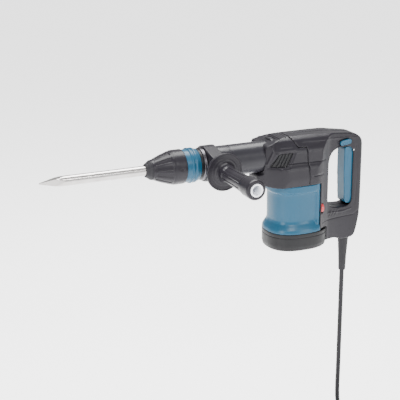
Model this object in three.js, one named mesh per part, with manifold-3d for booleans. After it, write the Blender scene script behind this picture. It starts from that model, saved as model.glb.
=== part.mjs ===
// Demolition hammer, 5 kg class, with a bull-point bit, its side handle and a mains lead.
// Millimetres, +Z up. Inside the tool group X runs along the tool axis from the nose (X = 0) to the rear,
// Y = 0 is the middle plane with the side grip towards -Y, and Z = 0 is the tool axis.
// The exported group has its origin at the middle of the rear grip, where a hand holds the tool.
import * as THREE from "three";
import { mergeVertices } from "three/addons/utils/BufferGeometryUtils.js";
import Module from "manifold-3d";

const wasm = await Module();
wasm.setup();

// ---- driving dimensions ----
const gap = 0.3; // left between faces that touch
const grip = { x: 435, z: -60 }; // the rear grip's middle, the part's origin
const bit = { r: 9, tip: -188, point: 45, rear: 75, grooveFrom: 29.5, grooveTo: 63.5, slotFrom: 9 };
const nose = { front: 7, rear: 17, mouth: 9.5 };
const cover = { front: 17.3, shoulder: 58, rear: 78, r: 31.5 };
const ring = { front: 78.3, ridge: 88, rear: 106.6, bandR: 30, ridgeR: 32.2 };
const holder = { front: 13.3, rear: 148, boltFrom: 88, boltR: 12.2 };
const roller = { r: 3.5, from: 30, to: 44, offset: 9.6 };
const neck = { from: 107.2, mid: 112, to: 118.7 };
const clamp = { from: 119.3, to: 143.7, r: 33, bore: 26.4, reach: 56, half: 19 };
const barrel = { front: 119, r: 29, rear: 262 };
const cylinder = { from: 150, to: 246, r: 21.2, bore: 16.4 };
const boltFrom = 75.5;
const striker = { from: 158, to: 188 };
const piston = { from: 214, to: 236, pin: 226 };
const crank = { x: 280, throw: 12, discTop: -10, discFrom: -16, gearTop: -38, gearFrom: -48, teeth: 40 };
const pinion = { teeth: 9, bottom: -50, top: -36 };
const toothModule = 1.25;
const motor = { x: 311, coreR: 24, statorR: 38, statorFrom: -134, statorTo: -78 };
const blue = { top: -54, bottom: -146, rear: 345 };
const base = { x: 313.2, bottom: -181 };
const grips = { flange: 64, flangeR: 34.6, end: 192, boreR: 12 };
const opening = { from: 370, to: 430, bottom: -114, top: 4 };
const trigger = { front: 413, top: 2, pinX: 431, pinZ: -5, halfWidth: 13.6 };
const wheel = { x: 351, y: -34.5, z: -104.5, r: 8.6, width: 5.6 };
const button = { x: 409.5, z: 13, length: 24, height: 9.5 };
const guard = { x: 424, top: -166, seat: -180.5, end: -252, plugR: 9.2, bore: 9.5 };
const cord = { r: 4.5, floor: -580, bend: 55 };
const coil = { x: 352.5, y: -92, mean: 62.5, width: 27, height: 36, lift: 2 };
const tie = { wall: 1.6, half: 6 };
const plug = { heading: 120, half: 8.6, front: 44, pinR: 2.4, pinY: 9.5 };
const wall = 3;

const finish = {
  charcoal: { color: 0x4a484d, roughness: 0.55, metalness: 0 },
  black: { color: 0x2c2b2e, roughness: 0.6, metalness: 0 },
  rubber: { color: 0x252427, roughness: 0.8, metalness: 0 },
  blue: { color: 0x4a86a6, roughness: 0.4, metalness: 0 },
  red: { color: 0xb03038, roughness: 0.35, metalness: 0 },
  pale: { color: 0xdfe2e8, roughness: 0.45, metalness: 0 },
  steel: { color: 0xb9b7b6, roughness: 0.3, metalness: 1 },
  darkSteel: { color: 0x6c6a70, roughness: 0.4, metalness: 0.9 },
  aluminium: { color: 0x77757c, roughness: 0.45, metalness: 0.7 },
  copper: { color: 0xb5703c, roughness: 0.4, metalness: 1 },
  carbon: { color: 0x333333, roughness: 0.9, metalness: 0 },
  board: { color: 0x2f5d46, roughness: 0.6, metalness: 0 },
};

// ---- shape helpers ----
const shapeOf = (points) => new THREE.Shape(points.map(([a, b]) => new THREE.Vector2(a, b)));

// An outline whose corners are rounded by up to r.
function rounded(points, r) {
  const shape = new THREE.Shape();
  points.forEach(([x, y], i) => {
    const here = new THREE.Vector2(x, y);
    const before = new THREE.Vector2(...points.at(i - 1));
    const after = new THREE.Vector2(...points[(i + 1) % points.length]);
    const back = Math.min(r, here.distanceTo(before) / 2.1);
    const ahead = Math.min(r, here.distanceTo(after) / 2.1);
    const start = here.clone().add(before.sub(here).setLength(back));
    const end = here.clone().add(after.sub(here).setLength(ahead));
    if (i === 0) shape.moveTo(start.x, start.y);
    else shape.lineTo(start.x, start.y);
    shape.quadraticCurveTo(here.x, here.y, end.x, end.y);
  });
  shape.closePath();
  return shape;
}

const asShape = (outline) => (outline instanceof THREE.Shape ? outline : shapeOf(outline));

function extrude(outline, depth, curveSegments = 3) {
  return new THREE.ExtrudeGeometry(asShape(outline), { depth, bevelEnabled: false, curveSegments });
}

// A side-view outline (x, z) from y0 to y1.
function slabY(outline, y0, y1, segments) {
  return extrude(outline, y1 - y0, segments).rotateX(Math.PI / 2).translate(0, y1, 0);
}

// A plan outline (x, y) from z0 to z1.
function slabZ(outline, z0, z1, segments) {
  return extrude(outline, z1 - z0, segments).translate(0, 0, z0);
}

// A front-view outline (y, z) from x0 to x1.
function slabX(outline, x0, x1, segments) {
  const turn = new THREE.Matrix4().makeBasis(
    new THREE.Vector3(0, 1, 0), new THREE.Vector3(0, 0, 1), new THREE.Vector3(1, 0, 0));
  return extrude(outline, x1 - x0, segments).applyMatrix4(turn).translate(x0, 0, 0);
}

function lathe(profile, segments) {
  return new THREE.LatheGeometry(profile.map(([h, r]) => new THREE.Vector2(r, h)), segments);
}

const aboutX = (profile, segments = 24) => lathe(profile, segments).rotateZ(-Math.PI / 2);
const aboutZ = (profile, x, y = 0, segments = 24) =>
  lathe(profile, segments).rotateX(Math.PI / 2).translate(x, y, 0);
const aboutY = (profile, x, z, segments = 24) =>
  lathe(profile, segments).rotateX(Math.PI).translate(x, 0, z);

// A closed tube profile between two radii.
const tube = (from, to, inner, outer) =>
  [[from, inner], [from, outer], [to, outer], [to, inner], [from, inner]];
const rod = (from, to, r) => [[from, 0], [from, r], [to, r], [to, 0]];

function box(x0, x1, y0, y1, z0, z1) {
  return new THREE.BoxGeometry(x1 - x0, y1 - y0, z1 - z0)
    .translate((x0 + x1) / 2, (y0 + y1) / 2, (z0 + z1) / 2);
}

// A closed skin through rings of points that all have the same count.
function loft(rings) {
  const n = rings[0].length;
  const position = rings.flat().flatMap((p) => [p.x, p.y, p.z]);
  const index = [];
  for (let k = 0; k + 1 < rings.length; k++)
    for (let i = 0; i < n; i++) {
      const j = (i + 1) % n;
      const a = k * n + i;
      const b = k * n + j;
      index.push(a, b, b + n, a, b + n, a + n);
    }
  const last = (rings.length - 1) * n;
  for (let i = 1; i + 1 < n; i++) {
    index.push(0, i + 1, i);
    index.push(last, last + i, last + i + 1);
  }
  const g = new THREE.BufferGeometry();
  g.setAttribute("position", new THREE.Float32BufferAttribute(position, 3));
  g.setIndex(index);
  return g;
}

// A superellipse in plan, centred on the motor.
function planRing(z, a, b, x = motor.x, power = 2.5, steps = 32) {
  return Array.from({ length: steps }, (_, i) => {
    const t = (2 * Math.PI * i) / steps;
    const c = Math.cos(t);
    const s = Math.sin(t);
    return new THREE.Vector3(
      x + a * Math.sign(c) * Math.abs(c) ** (2 / power),
      b * Math.sign(s) * Math.abs(s) ** (2 / power),
      z);
  });
}

// ---- solids ----
function solid(geometry) {
  const g = geometry.clone();
  g.deleteAttribute("normal");
  g.deleteAttribute("uv");
  const merged = mergeVertices(g, 1e-3);
  const all = merged.index.array;
  const triangles = [];
  for (let i = 0; i < all.length; i += 3) {
    const [a, b, c] = [all[i], all[i + 1], all[i + 2]];
    if (a !== b && b !== c && c !== a) triangles.push(a, b, c);
  }
  const make = (list) => new wasm.Manifold(new wasm.Mesh({
    numProp: 3,
    vertProperties: new Float32Array(merged.attributes.position.array),
    triVerts: new Uint32Array(list),
  }));
  const made = make(triangles);
  if (made.volume() > 0) return made;
  for (let i = 0; i < triangles.length; i += 3)
    [triangles[i + 1], triangles[i + 2]] = [triangles[i + 2], triangles[i + 1]];
  return make(triangles);
}

const asSolid = (piece) => (piece.isBufferGeometry ? solid(piece) : piece);
const join = (...pieces) => pieces.map(asSolid).reduce((a, b) => a.add(b));
const cut = (body, ...tools) => tools.map(asSolid).reduce((a, b) => a.subtract(b), asSolid(body));
const common = (...pieces) => pieces.map(asSolid).reduce((a, b) => a.intersect(b));

const tool = new THREE.Group();

function add(name, piece, look) {
  const data = asSolid(piece).getMesh();
  const g = new THREE.BufferGeometry();
  g.setAttribute("position", new THREE.BufferAttribute(new Float32Array(data.vertProperties), 3));
  g.setIndex(new THREE.BufferAttribute(new Uint32Array(data.triVerts), 1));
  const flat = g.toNonIndexed();
  flat.computeVertexNormals();
  const mesh = new THREE.Mesh(flat, new THREE.MeshStandardMaterial(finish[look]));
  mesh.name = name;
  tool.add(mesh);
  return mesh;
}

// ---- bit and tool holder ----
function makeBit() {
  const pointEnd = bit.tip + bit.point;
  const body = aboutX([
    [bit.tip - 1, 0], [bit.tip - 1, bit.r], [bit.rear - 1.5, bit.r], [bit.rear, bit.r - 1.5],
    [bit.rear, 0]], 24);
  // four flats ground to a 2 mm square tip, a quarter-turn apart
  const half = bit.r * 1.02;
  const side = [[bit.tip, -1], [bit.tip, 1], [pointEnd, half], [bit.rear + 1, half],
    [bit.rear + 1, -half], [pointEnd, -half]];
  const shaped = common(body, slabY(side, -20, 20), slabY(side, -20, 20).rotateX(Math.PI / 2));
  // grooves for the locking rollers at +Y and -Y, and drive slots above and below
  const depth = roller.offset - roller.r - gap;
  const grooves = [1, -1].map((s) => box(
    bit.grooveFrom, bit.grooveTo, s > 0 ? depth : -20, s > 0 ? 20 : -depth, -4.4, 4.4));
  const slots = [1, -1].map((s) => box(
    bit.slotFrom, bit.rear + 1, -2.4, 2.4, s > 0 ? 6.4 : -20, s > 0 ? 20 : -6.4));
  add("bull_point_bit", cut(shaped, ...grooves, ...slots), "steel");
}

function makeNoseSeal() {
  add("nose_seal", aboutX([
    [nose.front, nose.mouth], [nose.front, 11.5], [nose.front + 1.5, 12.6], [nose.rear - 2.5, 16.4],
    [nose.rear - 1.2, 17.6], [nose.rear, 17.8], [nose.rear, 13], [holder.front - gap, 13],
    [holder.front - gap, nose.mouth],
    [nose.front, nose.mouth]]), "rubber");
}

function makeReleaseCover() {
  const f = cover.front;
  add("release_cover", aboutX([
    [f, 15.3], [f, 17.7], [f + 1.7, 18.5], [f + 3.2, 18.3], [38, 25.2], [54, 30.3],
    [cover.shoulder, cover.r - 0.2],
    [62, cover.r], [cover.rear - 1, cover.r], [cover.rear, cover.r - 0.6], [cover.rear, ring.bandR + 0.5],
    [62, ring.bandR + 0.5], [57, 28.2], [53, 15], [49, 15], [49, 26], [38, 22.8], [f, 15.3]]),
    "charcoal");
}

function makeChangeRing() {
  const { front: a, rear: z, ridge, bandR: b, ridgeR: r } = ring;
  add("change_ring", aboutX([
    [a, 20.3], [a, b], [ridge, b], [ridge + 1, r], [ridge + 4, r], [ridge + 5, r - 2.2],
    [ridge + 7.5, r - 2.2],
    [ridge + 8.5, r - 0.3], [ridge + 11.5, r - 0.3], [ridge + 12.5, r - 2.4], [z - 3, r - 3],
    [z - 0.5, r - 3.4],
    [z, r - 4.6], [z, 20.3], [a, 20.3]]), "blue");
}

function makeHolder() {
  const ribs = [1, -1].map((s) => box(15, 27, -1.9, 1.9, s > 0 ? 6.9 : -9.8, s > 0 ? 9.8 : -6.9));
  const body = join(aboutX([
    [holder.front, 9.4], [holder.front, 12.6], [20, 12.6], [22, 14.5], [66, 14.5], [66, 19], [106.9, 19],
    [106.9, 20], [holder.rear, 20], [holder.rear, holder.boltR], [holder.boltFrom, holder.boltR],
    [holder.boltFrom, 9.4], [holder.front, 9.4]]), ...ribs);
  const r = roller.r + gap;
  const windows = [1, -1].map((s) => box(
    roller.from - gap, roller.to + gap, s > 0 ? 5 : -16, s > 0 ? 16 : -5, -r, r));
  add("tool_holder", cut(body, ...windows), "darkSteel");
  for (const [side, s] of [["left", -1], ["right", 1]])
    add("locking_roller_" + side,
      lathe(rod(roller.from, roller.to, roller.r), 16).rotateZ(-Math.PI / 2).translate(0,
        s * roller.offset, 0),
      "steel");
}

// A coil spring of round wire about the tool axis.
class Helix extends THREE.Curve {
  constructor(x0, x1, r, turns) {
    super();
    Object.assign(this, { x0, x1, r, turns });
  }
  getPoint(t, target = new THREE.Vector3()) {
    const a = 2 * Math.PI * this.turns * t;
    return target.set(this.x0 + (this.x1 - this.x0) * t, this.r * Math.cos(a), this.r * Math.sin(a));
  }
}

function circleShape(r, sides) {
  return shapeOf(Array.from({ length: sides }, (_, i) => {
    const a = (2 * Math.PI * i) / sides;
    return [r * Math.cos(a), r * Math.sin(a)];
  }));
}

function sweep(path, r, sides, steps) {
  return new THREE.ExtrudeGeometry(circleShape(r, sides), { extrudePath: path, steps });
}

function makeReleaseSpring() {
  add("release_spring", sweep(new Helix(60.3, 76.7, 23, 4), 0.9, 5, 48), "steel");
}

function makeNeck() {
  add("lock_ring", aboutX(tube(neck.from, neck.mid, 20.6, 28.4)), "rubber");
  add("front_ring", aboutX([
    [neck.mid + gap, 20.6], [neck.mid + gap, 28.6], [neck.mid + 2, 29.8], [neck.to - 1, 29.8],
    [neck.to, 29.2],
    [neck.to, 20.6], [neck.mid + gap, 20.6]]), "darkSteel");
}

function makeBarrel() {
  add("barrel", aboutX([
    [barrel.front, 20.5], [barrel.front, 26], [clamp.to + gap, 26], [clamp.to + gap, barrel.r - 0.6],
    [clamp.to + 1, barrel.r], [barrel.rear - 8, barrel.r], [barrel.rear - 8, 34], [barrel.rear, 34],
    [barrel.rear, 24], [cylinder.to + 1, 24], [cylinder.to + 1, 21.5], [cylinder.from - 0.7, 21.5],
    [cylinder.from - 0.7, 20.5], [barrel.front, 20.5]]), "charcoal");
}

// ---- hammer mechanism ----
function makeMechanism() {
  add("impact_bolt", aboutX([
    [boltFrom, 0], [boltFrom, 7.5], [boltFrom + 1, 8.7], [94, 8.7], [97, 11.7], [118, 11.7], [121, 8],
    [149.5, 8], [150, 7.5], [150, 0]], 20), "steel");
  add("cylinder", aboutX(tube(cylinder.from, cylinder.to, cylinder.bore, cylinder.r)), "darkSteel");
  add("striker", aboutX([
    [striker.from, 0], [striker.from, 8], [striker.from + 4, 9], [striker.from + 5, 16], [striker.to, 16],
    [striker.to, 0]], 24), "steel");
  const slot = box(piston.from + 4, piston.to + 1, -8.5, 8.5, -5, 5);
  const pinHole = aboutZ(rod(-17, 17, 3.6), piston.pin, 0, 16);
  add("piston", cut(aboutX(rod(piston.from, piston.to, 16), 24), slot, pinHole), "aluminium");
  add("wrist_pin", aboutZ(rod(-14.5, 14.5, 3.2), piston.pin, 0, 16), "steel");
  const eye = (x, r) => slabZ(circleShape(r, 20), -3.6, 3.6).translate(x, 0, 0);
  const body = join(eye(piston.pin, 7.2), box(piston.pin, crank.x, -3.6, 3.6, -3.6, 3.6),
    eye(crank.x, 9));
  add("connecting_rod", cut(body,
    slabZ(circleShape(3.6, 16), -5, 5).translate(piston.pin, 0, 0),
    slabZ(circleShape(5, 16), -5, 5).translate(crank.x, 0, 0)), "darkSteel");
}

// A spur gear's outline with straight-sided teeth; phase turns it by a part of one pitch.
function gearShape(teeth, root, tip, phase) {
  const points = [];
  const pitch = (2 * Math.PI) / teeth;
  for (let i = 0; i < teeth; i++)
    for (const [part, r] of [[-0.22, root], [-0.1, tip], [0.1, tip], [0.22, root]]) {
      const a = (i + phase + part) * pitch;
      points.push([r * Math.cos(a), r * Math.sin(a)]);
    }
  return shapeOf(points);
}

function makeCrank() {
  const pitchR = (toothModule * crank.teeth) / 2;
  const gear = slabZ(gearShape(crank.teeth, pitchR - 1.4, pitchR + 0.8, 0.5), crank.gearFrom,
    crank.gearTop)
    .translate(crank.x, 0, 0);
  const shaft = aboutZ(rod(-65, crank.discFrom + 1, 7), crank.x, 0, 20);
  const disc = aboutZ(rod(crank.discFrom, crank.discTop, 17), crank.x, 0, 28);
  const pin = aboutZ(rod(crank.discTop - 1, -4.2, 4.5), crank.x, crank.throw, 16);
  add("crank_gear", join(gear, shaft, disc, pin), "darkSteel");
  add("crank_bearing", aboutZ(tube(-62, -52, 7.3, 13), crank.x, 0, 20), "steel");
}

function makeMotor() {
  const pitchR = (toothModule * pinion.teeth) / 2;
  const small = slabZ(gearShape(pinion.teeth, pitchR - 1.3, pitchR + 0.8, 0.5), pinion.bottom, pinion.top)
    .translate(motor.x, 0, 0);
  const blades = Array.from({ length: 9 }, (_, i) => box(9, 31, -0.8, 0.8, -76.5, -69)
    .rotateZ((2 * Math.PI * i) / 9).translate(motor.x, 0, 0));
  const rotor = aboutZ([
    [-166, 0], [-166, 4], [-152, 4], [-152, 13], [-137, 13], [-137, 6], [-131, 6], [-131, motor.coreR],
    [-81, motor.coreR], [-81, 8], [-78, 8], [-78, 32], [-76, 32], [-76, 10], [-68, 10], [-68, 5],
    [-49, 5],
    [-49, 0]], motor.x, 0, 28);
  add("armature", join(rotor, small, ...blades), "copper");
  add("upper_motor_bearing", aboutZ(tube(-62, -52, 5.3, 13), motor.x, 0, 20), "steel");
  add("lower_motor_bearing", aboutZ(tube(-165, -157, 4.3, 11), motor.x, 0, 20), "steel");
  const laminations = slabZ(circleShape(motor.statorR, 32), motor.statorFrom, motor.statorTo);
  add("field_stator", cut(laminations.translate(motor.x, 0, 0),
    aboutZ(rod(motor.statorFrom - 5, motor.statorTo + 5, motor.coreR + 1.2), motor.x)), "aluminium");
  for (const [side, s] of [["left", -1], ["right", 1]]) {
    const block = (halfX, y0, y1, z0, z1) => box(
      motor.x - halfX, motor.x + halfX, Math.min(s * y0, s * y1), Math.max(s * y0, s * y1), z0, z1);
    add("brush_holder_" + side, cut(block(7, 15, 36, -153, -137.5), block(4, 14, 33, -150, -140)),
      "black");
    add("brush_" + side, block(3.6, 13.4, 30, -149.6, -140.4), "carbon");
  }
  // the plate that carries the crank and the upper end of the armature
  const plate = common(
    loft([planRing(-66, 50.5, 41), planRing(-50.6, 50.5, 41)]), box(200, 348.5, -60, 60, -80, 0));
  add("gear_case", cut(plate,
    aboutZ(rod(-62.6, -40, 13.3), crank.x, 0, 20), aboutZ(rod(-70, -40, 7.4), crank.x, 0, 20),
    aboutZ(rod(-62.6, -40, 13.3), motor.x, 0, 20), aboutZ(rod(-70, -40, 10.6), motor.x, 0, 20)),
      "aluminium");
}

// ---- housings ----
// The upper housing and D handle share one form, a side view, a front view and a plan, inset by d inside.
const mirrored = (half) => [...half, ...half.map(([a, b]) => [a, -b]).reverse()];

function planOutline(d) {
  return rounded(mirrored([
    [222, 15 - d], [233, 29 - d], [246, 38 - d], [262, 46.5 - d], [276, 49 - d], [332, 49 - d],
    [346, 43.5 - d],
    [371, 26.5 - d], [395, 21 - d], [417, 18.2 - d], [452.5 - d, 15.5 - d]]), 7);
}

function frontOutline(d) {
  const half = [[19, 37.6 - d], [30 - d, 31 - d], [41.5 - d, 12], [43 - d, -11], [48 - d, -19],
    [49 - d, -40],
    [46.5 - d, -55], [46.5 - d, -185 + d]];
  return rounded([...half, ...half.map(([y, z]) => [-y, z]).reverse()], 4);
}

const sideFront = (d) => [
  [233, 26.5 - d], [243, 27.5 - d], [261, 34.5 - d], [278, 37.6 - d], [330, 37.6 - d],
  [330, -54 - 6 * d], [252 + d + 2.4 * d, -54 - 6 * d],
  [228 + d, -49 + d], [223 + d, -38], [225 + d, -29.5 - d / 2], [233, -28.6 + d]];

const sideRear = (d) => [
  [270, 37.6 - d], [333, 37.4 - d], [375, 35.8 - d], [432, 28.5 - d], [446 - d, 19 - d / 2], [451 - d, 8],
  [452 - d, -14], [451.5 - d, -98], [449.5 - d, -135], [444 - d, -160], [437.5 - d, -180.5 + d],
  [404, -180.5 + d], [392, -174 + d], [330, -174 + d], [330, -60], [270, -54]];

const handHole = (d) => {
  const { from, to, bottom, top } = opening;
  return rounded([
    [from - d, bottom + 6 - d], [from - d, top - 16], [from + 16, top + d], [to + d, top + d],
    [to + d, bottom - d], [402, bottom - 2 - d]], 16);
};

const seam = { top: 284, mid: 298, rear: 315, foot: 318.5, level: 18 };
const frontPart = [
  [215, -70], [215, 50], [seam.top - 8, 54], [seam.mid, seam.level], [seam.rear, seam.level],
  [seam.foot, -54],
  [seam.foot, -70]];
const rearPart = (s) => [
  [seam.top - 8 + s, 54], [seam.mid + s, seam.level + s], [seam.rear + s, seam.level + s],
  [seam.foot + s, -54],
  [blue.rear + s, -54], [blue.rear + s, -200], [460, -200], [460, 54]];

function housingForm(side, d, corner = 10) {
  return common(
    slabY(rounded(side(d), corner), -60, 60), slabX(frontOutline(d), 215, 460),
      slabZ(planOutline(d), -200, 60));
}

const louvre = [[240, -13], [256, 11], [287, 11], [273, -13]];

function makeFrontCover() {
  const vents = Array.from({ length: 5 }, (_, i) =>
    box(0, 2.4, -23, 23, 33, 45).translate(260 + 4.6 * i, 0, 0));
  const inside = common(housingForm(sideFront, wall), box(253.4, 340, -60, 60, -70, 60));
  add("front_cover", cut(
    common(housingForm(sideFront, 0), slabY(frontPart, -70, 70)),
    inside,
    aboutX(rod(215, 256, barrel.r + 0.4)), aboutX(rod(253.4, barrel.rear + 0.6, 34.5)),
    slabY(rounded(louvre, 4), -60, 60), ...vents), "charcoal");
}

function makeLouvres() {
  const opened = slabY(rounded([[240.7, -12.6], [256.3, 10.6], [286.3, 10.6], [272.6, -12.6]], 3.4), -60,
    60);
  const backing = cut(housingForm(sideFront, 2.6), housingForm(sideFront, 5));
  const fins = Array.from({ length: 5 }, (_, i) =>
    slabY([[0, -15], [2.2, -15], [18, 12], [15.8, 12]], -60, 60).translate(242 + 7 * i, 0, 0));
  const raised = common(join(...fins), cut(housingForm(sideFront, 0.6), housingForm(sideFront, 3.6)));
  const both = common(join(backing, raised), opened);
  add("louvre_left", common(both, box(200, 400, -60, -15, -60, 60)), "black");
  add("louvre_right", common(both, box(200, 400, 15, 60, -60, 60)), "black");
}

const motorRings = (d) => [
  [blue.top - gap, 58, 46.8], [-66, 58, 48], [-72, 51.5, 44.6], [-76, 50.5, 44], [-124, 49.5, 43.6],
  [-133, 53.5, 47], [-141, 57.5, 50], [blue.bottom, 58.3, 50.6],
].map(([z, a, b]) => planRing(z, a - d, b - d));

function makeMotorHousing() {
  const outer = common(loft(motorRings(0)), box(200, blue.rear, -60, 60, -200, 0));
  const rings = motorRings(wall);
  const lifted = rings[0].map((p) => p.clone().setZ(-40));
  const lowered = rings.at(-1).map((p) => p.clone().setZ(-160));
  add("motor_housing", cut(outer, loft([lifted, ...rings, lowered])), "blue");
}

// The base is longer than the blue housing at its rear, so its rings have their own middle.
const baseRing = (z, a, b) => planRing(z, a, b, base.x);
const baseRings = (d) => [
  [blue.bottom - gap, 60.6, 50.8], [-171, 60.4, 50.4], [-178, 58.8, 48.8], [base.bottom, 56, 46],
].map(([z, a, b]) => baseRing(z, a + d, b + d));

const baseScrews = [[-36, -26], [-36, 26], [36, -26], [36, 26]];

function makeBase() {
  const floor = base.bottom + wall;
  const hollow = loft([baseRing(floor, 51.2, 41.5), baseRing(-176, 54.7, 45),
    baseRing(-140, 57.6, 47.6)]);
  const bosses = baseScrews.map(([x, y]) => aboutZ(rod(floor - 1, -162, 6), motor.x + x, y, 16));
  const seat = aboutZ(rod(floor - 1, -156.7, 14), motor.x, 0, 24);
  const body = join(cut(loft(baseRings(0)), hollow), seat, ...bosses);
  const bores = baseScrews.flatMap(([x, y]) => [
    aboutZ(rod(base.bottom - 1, base.bottom + 4.6, 4.4), motor.x + x, y, 16),
    aboutZ(rod(base.bottom - 1, -158, 2.3), motor.x + x, y, 12)]);
  const pocket = [aboutZ(rod(-165.4, -150, 11.3), motor.x, 0, 20),
    aboutZ(rod(-168, -150, 4.6), motor.x, 0, 16)];
  add("base_cover", cut(body, ...bores, ...pocket), "black");
  baseScrews.forEach(([x, y], i) => add("base_screw_" + (i + 1), aboutZ([
    [base.bottom + 1.2, 0], [base.bottom + 1.2, 4], [base.bottom + 4.2, 4], [base.bottom + 4.2, 2],
    [-164, 2],
    [-164, 0]], motor.x + x, y, 14), "steel"));
}

const handleScrews = [[388, 19], [439, -138]];

function makeHandle() {
  const outer = cut(housingForm(sideRear, 0), slabY(handHole(0), -60, 60));
  const inner = cut(housingForm(sideRear, wall), slabY(handHole(wall), -60, 60));
  const bosses = handleScrews.map(([x, z]) => aboutY(rod(-60, 60, 5.5), x, z, 16));
  const posts = common(join(...bosses), outer);
  const hollow = cut(inner, posts);
  const behindMotor = box(300, 356, -45.8, 45.8, -145, -54);
  const motorSpace = common(behindMotor, slabZ(planOutline(wall), -200, 60));
  const kept = common(cut(outer, hollow, motorSpace), slabY(rearPart(0.4), -70, 70));
  const pill = (w, h) => slabY(rounded([
    [button.x - w / 2, button.z - h / 2 - 1.2], [button.x - w / 2, button.z + h / 2 - 1.2],
    [button.x + w / 2, button.z + h / 2 + 1.2], [button.x + w / 2, button.z - h / 2 + 1.2]], h / 2.2),
    -24, -9);
  const cuts = [
    loft([...baseRings(0.4).reverse(), baseRing(blue.bottom + 0.4, 61, 51.2)]),
    box(opening.to - 11, opening.to + 13.4, -14.2, 14.2, opening.bottom - 1, opening.top + 1),
    aboutY(rod(-16.6, 16.6, 2.3), trigger.pinX, trigger.pinZ, 14),
    aboutZ(rod(-190, guard.top + gap, guard.bore), guard.x, 0, 20),
    ...handleScrews.flatMap(([x, z]) =>
      [aboutY(rod(-60, -4.7, 4.3), x, z, 14), aboutY(rod(-20, 8, 2.3), x, z, 12)]),
  ];
  const whole = cut(kept, ...cuts);
  const sliver = gap / 2;
  add("handle_left", cut(common(whole, box(200, 500, -70, -sliver, -220, 80)),
    pill(button.length + 0.8, button.height + 0.8),
    box(wheel.x - 3.2, wheel.x + 3.2, -60, wheel.y + wheel.r + 1, wheel.z - wheel.r - 1,
      wheel.z + wheel.r + 1)),
  "charcoal");
  add("handle_right", common(whole, box(200, 500, sliver, 70, -220, 80)), "charcoal");
  add("lock_button", pill(button.length, button.height).translate(0, 1.2, 0), "blue");
  handleScrews.forEach(([x, z], i) => add("handle_screw_" + (i + 1), aboutY([
    [-8.6, 0], [-8.6, 4], [-5, 4], [-5, 2], [7.4, 2], [7.4, 0]], x, z, 14), "steel"));
}

function makeControls() {
  const { front: f, top } = trigger;
  const side = rounded([
    [f, top], [f + 28, top], [f + 28, top - 12], [f + 20.5, -104], [f + 16, -111.5], [f + 3, -110.5],
    [f, -50]], 6);
  add("trigger", cut(slabY(side, -trigger.halfWidth, trigger.halfWidth),
    aboutY(rod(-20, 20, 2.3), trigger.pinX, trigger.pinZ, 14)), "blue");
  add("trigger_pin", aboutY(rod(-16.2, 16.2, 2), trigger.pinX, trigger.pinZ, 14), "steel");
  add("switch_module", box(443.4, 447.8, -10, 10, -78, -36), "black");
  const teeth = 20;
  const knurled = shapeOf(Array.from({ length: teeth * 2 }, (_, i) => {
    const a = (Math.PI * i) / teeth;
    const r = wheel.r - (i % 2) * 0.7;
    return [r * Math.cos(a), r * Math.sin(a)];
  }));
  const disc = slabX(knurled, -wheel.width / 2, wheel.width / 2);
  add("control_wheel", disc.translate(wheel.x, wheel.y, wheel.z), "red");
  add("control_board", box(360, 362, -20, 20, -140, -75), "board");
}

// ---- side handle: it swings about the barrel's neck ----
function makeSideHandle() {
  const turn = (100 * Math.PI) / 180;
  const arc = Array.from({ length: 16 }, (_, i) => turn - (2 * turn * i) / 15)
    .map((t) => [clamp.r * Math.cos(t), clamp.r * Math.sin(t)]);
  const outline = [...arc, [-clamp.reach, -clamp.half], [-clamp.reach, clamp.half]].reverse();
  const middle = (clamp.from + clamp.to) / 2;
  add("clamp_band", cut(slabX(outline, clamp.from, clamp.to),
    aboutX(rod(clamp.from - 1, clamp.to + 1, clamp.bore), 30),
    aboutY(rod(clamp.bore - 9, clamp.reach + 1, 4.3), middle, 0, 14)), "charcoal");
  const { flange: f, flangeR: r, end } = grips;
  add("handle_base", aboutY([
    [clamp.reach + gap, 4.3], [clamp.reach + gap, 16.5], [f - gap, 19], [f - gap, 4.3],
    [clamp.reach + gap, 4.3],
  ], middle, 0, 28), "black");
  add("handle_bolt", aboutY([[30, 0], [30, 4], [99, 4], [99, 0]], middle, 0, 16), "steel");
  add("side_grip", aboutY([
    [f, grips.boreR], [f, r - 2], [f + 1.5, r], [f + 5, r], [f + 6.6, r - 2], [f + 5.4, 24],
    [f + 7, 19.5],
    [f + 12, 16], [90, 15], [128, 15.6], [152, 16.4], [163, 17.9], [end - 5, 18.4], [end - 1.6, 17.4],
    [end, 15.4],
    [end, grips.boreR], [f, grips.boreR]], middle, 0, 32), "charcoal");
  add("grip_core", aboutY([
    [f + 1, 4.3], [f + 1, 11.6], [end + 0.8, 11.6], [end + 0.8, 8.6], [101, 8.6], [101, 4.3],
    [f + 1, 4.3],
  ], middle, 0, 28), "pale");
}

// ---- mains lead ----
function makeGuard() {
  const band = tube(guard.end + 16, guard.end + 19, 5, 8.6);
  const body = [
    [guard.end, 0], [guard.end, 6.9], [guard.end + 32, 8.2], [guard.seat - 4, 10.4],
    [guard.seat - gap, 10.8],
    [guard.seat - gap, guard.plugR], [guard.top, guard.plugR], [guard.top, 0]];
  add("cord_guard", join(aboutZ(body, guard.x, 0, 24), aboutZ(band, guard.x, 0, 20)), "rubber");
}

// The lead hangs from the guard, lands on the floor level and runs to the coil.
const leadPoints = () => {
  const lead = cord.floor + coil.lift + cord.r;
  const straight = [guard.end - gap, -290, -335, -380, -425, -470, lead + cord.bend + 4].map((z) =>
    [guard.x, 0, z]);
  const turn = [15, 30, 45, 60, 75, 90].map((deg) => {
    const a = (deg * Math.PI) / 180;
    return [guard.x, -cord.bend * (1 - Math.cos(a)), lead + cord.bend * (1 - Math.sin(a))];
  });
  return [...straight, ...turn];
};

const curveOf = (points) => new THREE.CatmullRomCurve3(
  points.map((p) => new THREE.Vector3(...p)), false, "centripetal");

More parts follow.
